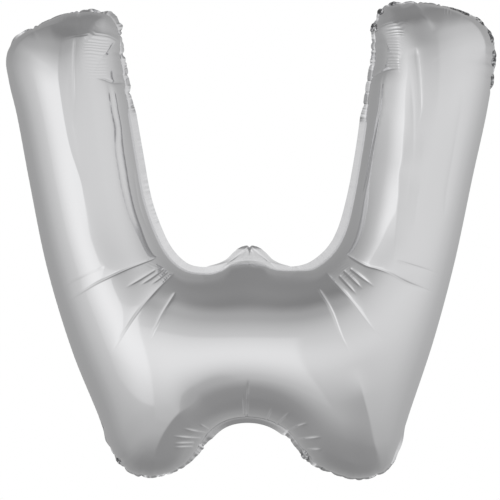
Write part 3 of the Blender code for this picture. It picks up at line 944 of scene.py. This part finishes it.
def neck_relief(x, along, channel, puff):
    """How far a neck film moves back and down: gas channel, weld lines, pleats, ripples and notch."""
    swell = np.sqrt(np.clip(1 - (x / channel) ** 2, 0, 1)) * window(along, *SWELL_SPAN)
    weld_half, weld_depth = WELD_LINE
    weld = np.exp(-np.abs(np.abs(x) - channel) / weld_half) * window(along, *WELD_SPAN)
    back = puff * swell - weld_depth * np.sign(puff) * weld
    if puff < 0:
        half, high, out = NECK_MOUTH
        back -= out * (1 - smoothstep(0.25, 1, np.abs(x) / half)) * (1 - smoothstep(0, high, along))
    notch_half = np.interp(smoothstep(*NOTCH_SPAN[0], along), (0, 1), NOTCH_HALVES)
    notch = np.exp(-((x / notch_half) ** 2)) * window(along, *NOTCH_SPAN)
    pleats, pleat_depth, pleat_reach = PLEATS
    fan = np.arctan2(x, PLEATS_FROM + 0.002 - np.minimum(along, PLEATS_FROM))
    pleat = np.sin(pleats * fan + 1) * np.exp(-np.hypot(x, along - PLEATS_FROM) / pleat_reach)
    middle, high, wide, ripple_depth = FOOT_RIPPLE
    ripple = np.cos(along * FOOT_RIPPLE_TURN) * np.exp(-(((along - middle) / high) ** 2) - (x / wide) ** 4)
    back += NOTCH_FURROW * notch - pleat_depth * pleat - ripple_depth * ripple
    return back, NOTCH_DEPTH * notch


def neck_mesh(offset, start, end, widths, puff):
    """A film of the neck, gathered into a V at its fold; puff is how far its gas channel swells."""
    bm = bmesh.new()
    bmesh.ops.create_grid(bm, x_segments=NECK_GRID[0], y_segments=NECK_GRID[1], size=1)
    u, v = np.array([vert.co[:2] for vert in bm.verts], float).T
    along = start + (end - start) * (v + 1) / 2
    x = u * np.interp(along / MM, *np.array(widths).T) * MM
    seam = film_plan().seam
    saddle = seam.points[(np.abs(seam.points - SADDLE[0]) < SADDLE[1]).all(axis=1)]
    saddle = saddle[np.argsort(saddle[:, 0])]
    level = np.interp(x * (1 - np.minimum(along / NECK_RISE, 1)), *saddle.T)
    y, z = neck_path(along, offset * (1 - NECK_SIDES_MEET * smoothstep(0.55, 1, np.abs(u))))
    back, down = neck_relief(x, along, np.interp(along / MM, *np.array(NECK_CHANNEL).T) * MM, puff)
    x += NECK_ASIDE * smoothstep(0.005, 0.015, along)
    put(bm, np.column_stack([x, y + back, level + z - down]))
    bmesh.ops.recalc_face_normals(bm, faces=bm.faces)
    return bm


# The add-on's parts


class FoilSettings(bpy.types.PropertyGroup):
    colour: bpy.props.FloatVectorProperty(
        name="Foil colour", description="Colour of the metal coat",
        subtype="COLOR", size=3, default=(0.83, 0.83, 0.84),
    )
    flat_colour: bpy.props.FloatVectorProperty(
        name="Weld colour", description="Colour of the flat weld",
        subtype="COLOR", size=3, default=(0.79, 0.79, 0.80),
    )
    neck_colour: bpy.props.FloatVectorProperty(
        name="Neck colour", description="Colour of the filling neck",
        subtype="COLOR", size=3, default=(0.86, 0.86, 0.87),
    )
    roughness: bpy.props.FloatProperty(
        name="Roughness", description="How much the foil blurs what it mirrors",
        default=0.09, min=0, max=1,
    )
    bump: bpy.props.FloatProperty(
        name="Sheet relief", description="Faint unevenness of the sheet",
        default=0.05, min=0, max=1,
    )


class StudioSettings(bpy.types.PropertyGroup):
    floor_drop: bpy.props.FloatProperty(
        name="Floor below", description="How far the floor is below the balloon's middle",
        default=1.1, unit="LENGTH",
    )
    camera_far: bpy.props.FloatProperty(
        name="Camera distance", description="How far the camera is in front",
        default=4.2, unit="LENGTH",
    )
    view_width: bpy.props.FloatProperty(
        name="View width", description="Width seen at the seam plane",
        default=0.860, unit="LENGTH",
    )


class BALLOON_OT_front_film(bpy.types.Operator):
    """Front film with its folds, in place of the plain front panel"""

    bl_idname = "balloon.front_film"
    bl_label = "Front film"

    def execute(self, context):
        foil = context.scene.balloon_foil
        material = foil_material("front_foil", foil.colour, foil.roughness, foil.bump)
        piece = finished(film_plan().film(-1, FRONT_FOLDS, FRONT_RIPPLES), "front_film", material)
        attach(piece, "root")
        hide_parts("front_panel")
        return {"FINISHED"}


class BALLOON_OT_back_film(bpy.types.Operator):
    """Back film with its folds, in place of the plain back panel"""

    bl_idname = "balloon.back_film"
    bl_label = "Back film"

    def execute(self, context):
        foil = context.scene.balloon_foil
        material = foil_material("back_foil", foil.colour, foil.roughness, foil.bump)
        piece = finished(film_plan().film(1, BACK_FOLDS, BACK_RIPPLES), "back_film", material)
        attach(piece, "root")
        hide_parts("back_panel")
        return {"FINISHED"}


class BALLOON_OT_weld(bpy.types.Operator):
    """Crinkled welded margin all round, in place of the plain flange"""

    bl_idname = "balloon.weld"
    bl_label = "Welded margin"

    def execute(self, context):
        foil = context.scene.balloon_foil
        material = foil_material("weld_foil", foil.flat_colour, foil.roughness + 0.06, foil.bump)
        # the folded-away leaves get painted shade in their base colour
        paint_shade_on_folded_leaves(material, foil.flat_colour)
        piece = walled(margin_mesh(), "welded_margin", material, MARGIN_WALL)
        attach(piece, "root")
        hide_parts("seam_flange")
        return {"FINISHED"}


class BALLOON_OT_neck(bpy.types.Operator):
    """Folded filling neck of two foils, in place of the plain ones"""

    bl_idname = "balloon.neck"
    bl_label = "Filling neck"

    def execute(self, context):
        foil = context.scene.balloon_foil
        material = foil_material("neck_foil", foil.neck_colour, foil.roughness + 0.16, foil.bump)
        for name, side, short in (("neck_front", -1, 0.0), ("neck_back", 1, 0.001)):
            bm = neck_mesh(side * NECK_LAYER, NECK_FOOT, NECK_LENGTH - short, NECK_HALVES, side * NECK_PUFF)
            piece = walled(bm, name, material, NECK_WALL)
            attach(piece, "root")
            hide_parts(name + "_film")
        return {"FINISHED"}


class BALLOON_OT_valve(bpy.types.Operator):
    """Clear valve film between the neck's foils"""

    bl_idname = "balloon.valve"
    bl_label = "Valve film"

    def execute(self, context):
        bm = neck_mesh(0.0, VALVE_START, NECK_LENGTH + VALVE_OUT, VALVE_HALVES, 0.0)
        piece = walled(bm, "valve_tongue", clear_film_material(), NECK_WALL)
        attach(piece, "root")
        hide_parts("valve_film")
        return {"FINISHED"}


# Soft studio light. Its darkest part, and what the big soft light in front adds to it at its brightest
DIM_LIGHT = 0.27
FRONT_LIGHT = 0.555
# Share of the front light by degrees round from the front (right is above 0) and by degrees up
LIGHT_AROUND = (
    (-180, 0.22), (-110, 0.28), (-84, 0.54), (-45, 0.84), (-10, 0.94),
    (30, 0.84), (80, 0.76), (115, 0.50), (180, 0.28),
)
LIGHT_UP = (
    (-90, 0.06), (-64, 0.14), (-52, 0.42), (-38, 0.64), (-14, 1.0),
    (8, 0.84), (37, 0.54), (52, 0.42), (65, 0.06), (90, 0.0),
)
RIGHT_LIFT = 0.15  # the front light sits this much higher on the right, radians
# Smaller lights and shades: direction (x, y, z), added light, narrowness
SPOTS = (
    ((0.55, -0.55, 0.62), 0.16, 5.0),
    ((0.05, -0.66, 0.75), -0.07, 14.0),
    ((-0.30, -0.66, 0.69), -0.13, 12.0),
    ((0.35, -0.78, -0.52), -0.12, 16.0),
    ((-0.63, -0.70, 0.34), 0.20, 14.0),
)
# Soft boxes in front, seen only in the foil: name, middle, width and height in metres, light, and the share
# of it from the left edge to the right and from the bottom up
SOFT_BOXES = (
    ("left_box", (-1.27, -1.1, -0.05), (1.4, 2.1), 0.17,
     ((0, 0.3), (0.3, 0.5), (0.8, 1.0), (1, 1.1)),
     ((0, 0.6), (0.3, 1.0), (0.76, 1.0), (0.9, 0.35), (1, 0.1))),
    ("low_box", (-0.26, -1.1, -0.60), (0.62, 1.5), 0.10,
     ((0, 0.6), (0.4, 0.9), (1, 1.0)),
     ((0, 0.3), (0.4, 0.9), (0.9, 1.0), (1, 0.7))),
)
# Painted glow of the floor by distance from the spot under the balloon, metres; dimmer in the middle as a
# painted soft shadow
FLOOR_PAINTED_GLOW = ((0, 0.30), (0.5, 0.45), (1.0, 0.80), (1.6, 1.0))
CAMERA_AIM = (0.0026, 0.0213)  # x and z of the middle of the view
SENSOR = 36


def world_light(scene):
    """Soft studio: brightest in front and a little low, dim above, below and behind."""
    world = bpy.data.worlds.new("studio")
    scene.world = world
    world.use_nodes = True
    tree = world.node_tree
    tree.nodes.clear()
    where = tree.nodes.new("ShaderNodeTexCoord").outputs["Generated"]
    x, y, z = fill(tree, tree.nodes.new("ShaderNodeSeparateXYZ"), where).outputs
    turn = math_node(tree, "ARCTAN2", x, math_node(tree, "MULTIPLY", y, -1))
    right = math_node(tree, "MAXIMUM", x, 0)
    rise = math_node(tree, "MULTIPLY_ADD", right, -RIGHT_LIFT, math_node(tree, "ARCSINE", z))
    share = FRONT_LIGHT
    for angle, stops, limit in ((turn, LIGHT_AROUND, 180), (rise, LIGHT_UP, 90)):
        place = math_node(tree, "MULTIPLY_ADD", angle, 90 / math.pi / limit, 0.5)
        share = math_node(tree, "MULTIPLY", grey_ramp(tree, place, stops, -limit, limit), share)
    total = math_node(tree, "ADD", share, DIM_LIGHT)
    for direction, added, narrow in SPOTS:
        toward = vector_node(tree, "DOT_PRODUCT", where, direction)["Value"]
        near = math_node(tree, "EXPONENT", math_node(tree, "MULTIPLY_ADD", toward, narrow, -narrow))
        total = math_node(tree, "ADD", total, math_node(tree, "MULTIPLY", near, added))
    soft = add(tree, "ShaderNodeBackground", total)
    white = add(tree, "ShaderNodeBackground", (1, 1, 1, 1))
    seen = tree.nodes.new("ShaderNodeLightPath").outputs["Is Camera Ray"]
    both = add(tree, "ShaderNodeMixShader", seen, soft, white)
    fill(tree, tree.nodes.new("ShaderNodeOutputWorld"), Surface=both)


def soft_box(name, middle, size, light, across, up):
    """Glowing see-through sheet that only shows in the foil."""
    material, tree, _ = node_material(name + "_glow")
    split = fill(tree, tree.nodes.new("ShaderNodeSeparateXYZ"), own_space(tree)).outputs
    share = light
    sides = ((split["X"], across, middle[0], size[0]), (split["Z"], up, middle[2], size[1]))
    for value, stops, centre, length in sides:
        place = math_node(tree, "MULTIPLY_ADD", value, 1 / length, 0.5 - centre / length)
        share = math_node(tree, "MULTIPLY", grey_ramp(tree, place, stops, 0, 1), share)
    glow = add(tree, "ShaderNodeEmission", Strength=share)
    surface(tree, add(tree, "ShaderNodeAddShader", add(tree, "ShaderNodeBsdfTransparent"), glow))
    bm = bmesh.new()
    bmesh.ops.create_grid(bm, x_segments=1, y_segments=1, size=0.5)
    for v in bm.verts:
        v.co = (middle[0] + v.co.x * size[0], middle[1], middle[2] + v.co.y * size[1])
    box = finished(bm, name, material, smooth=False)
    box.visible_camera = False


class BALLOON_OT_studio(bpy.types.Operator):
    """Pale floor, soft light and the camera at the picture's angle"""

    bl_idname = "balloon.studio"
    bl_label = "Studio"

    def execute(self, context):
        studio = context.scene.balloon_studio
        scene = context.scene
        scene.view_settings.view_transform = "Standard"
        world_light(scene)
        for box in SOFT_BOXES:
            soft_box(*box)
        bm = bmesh.new()
        bmesh.ops.create_circle(bm, segments=96, radius=FLOOR_PAINTED_GLOW[-1][0], cap_ends=True)
        bmesh.ops.translate(bm, verts=bm.verts, vec=(0, 0, -studio.floor_drop))
        floor = finished(bm, "floor", floor_material(), smooth=False)
        floor.visible_glossy = False
        camera_data = bpy.data.cameras.new("camera")
        camera = bpy.data.objects.new("camera", camera_data)
        scene.collection.objects.link(camera)
        camera.location = (CAMERA_AIM[0], -studio.camera_far, CAMERA_AIM[1])
        camera.rotation_euler = (math.radians(90), 0, 0)
        camera_data.sensor_width = SENSOR
        camera_data.lens = SENSOR * studio.camera_far / studio.view_width
        camera_data.clip_end = 100
        scene.camera = camera
        return {"FINISHED"}


OPERATORS = (
    BALLOON_OT_studio,
    BALLOON_OT_front_film,
    BALLOON_OT_back_film,
    BALLOON_OT_weld,
    BALLOON_OT_neck,
    BALLOON_OT_valve,
)


class BALLOON_PT_panel(bpy.types.Panel):
    """Lists the balloon's pieces and their settings"""

    bl_idname = "BALLOON_PT_panel"
    bl_label = "Foil letter balloon"
    bl_space_type = "VIEW_3D"
    bl_region_type = "UI"
    bl_category = "Balloon"

    def draw(self, context):
        for settings in (context.scene.balloon_foil, context.scene.balloon_studio):
            box = self.layout.box()
            for name in settings.__annotations__:
                box.prop(settings, name)
        for operator in OPERATORS:
            self.layout.operator(operator.bl_idname)


CLASSES = (FoilSettings, StudioSettings, *OPERATORS, BALLOON_PT_panel)


def register():
    for cls in CLASSES:
        bpy.utils.register_class(cls)
    bpy.types.Scene.balloon_foil = bpy.props.PointerProperty(type=FoilSettings)
    bpy.types.Scene.balloon_studio = bpy.props.PointerProperty(type=StudioSettings)


def unregister():
    del bpy.types.Scene.balloon_studio
    del bpy.types.Scene.balloon_foil
    for cls in reversed(CLASSES):
        bpy.utils.unregister_class(cls)


def main():
    register()
    bpy.ops.balloon.studio()
    bpy.ops.balloon.front_film()
    bpy.ops.balloon.back_film()
    bpy.ops.balloon.weld()
    bpy.ops.balloon.neck()
    bpy.ops.balloon.valve()


if __name__ == "__main__":
    main()
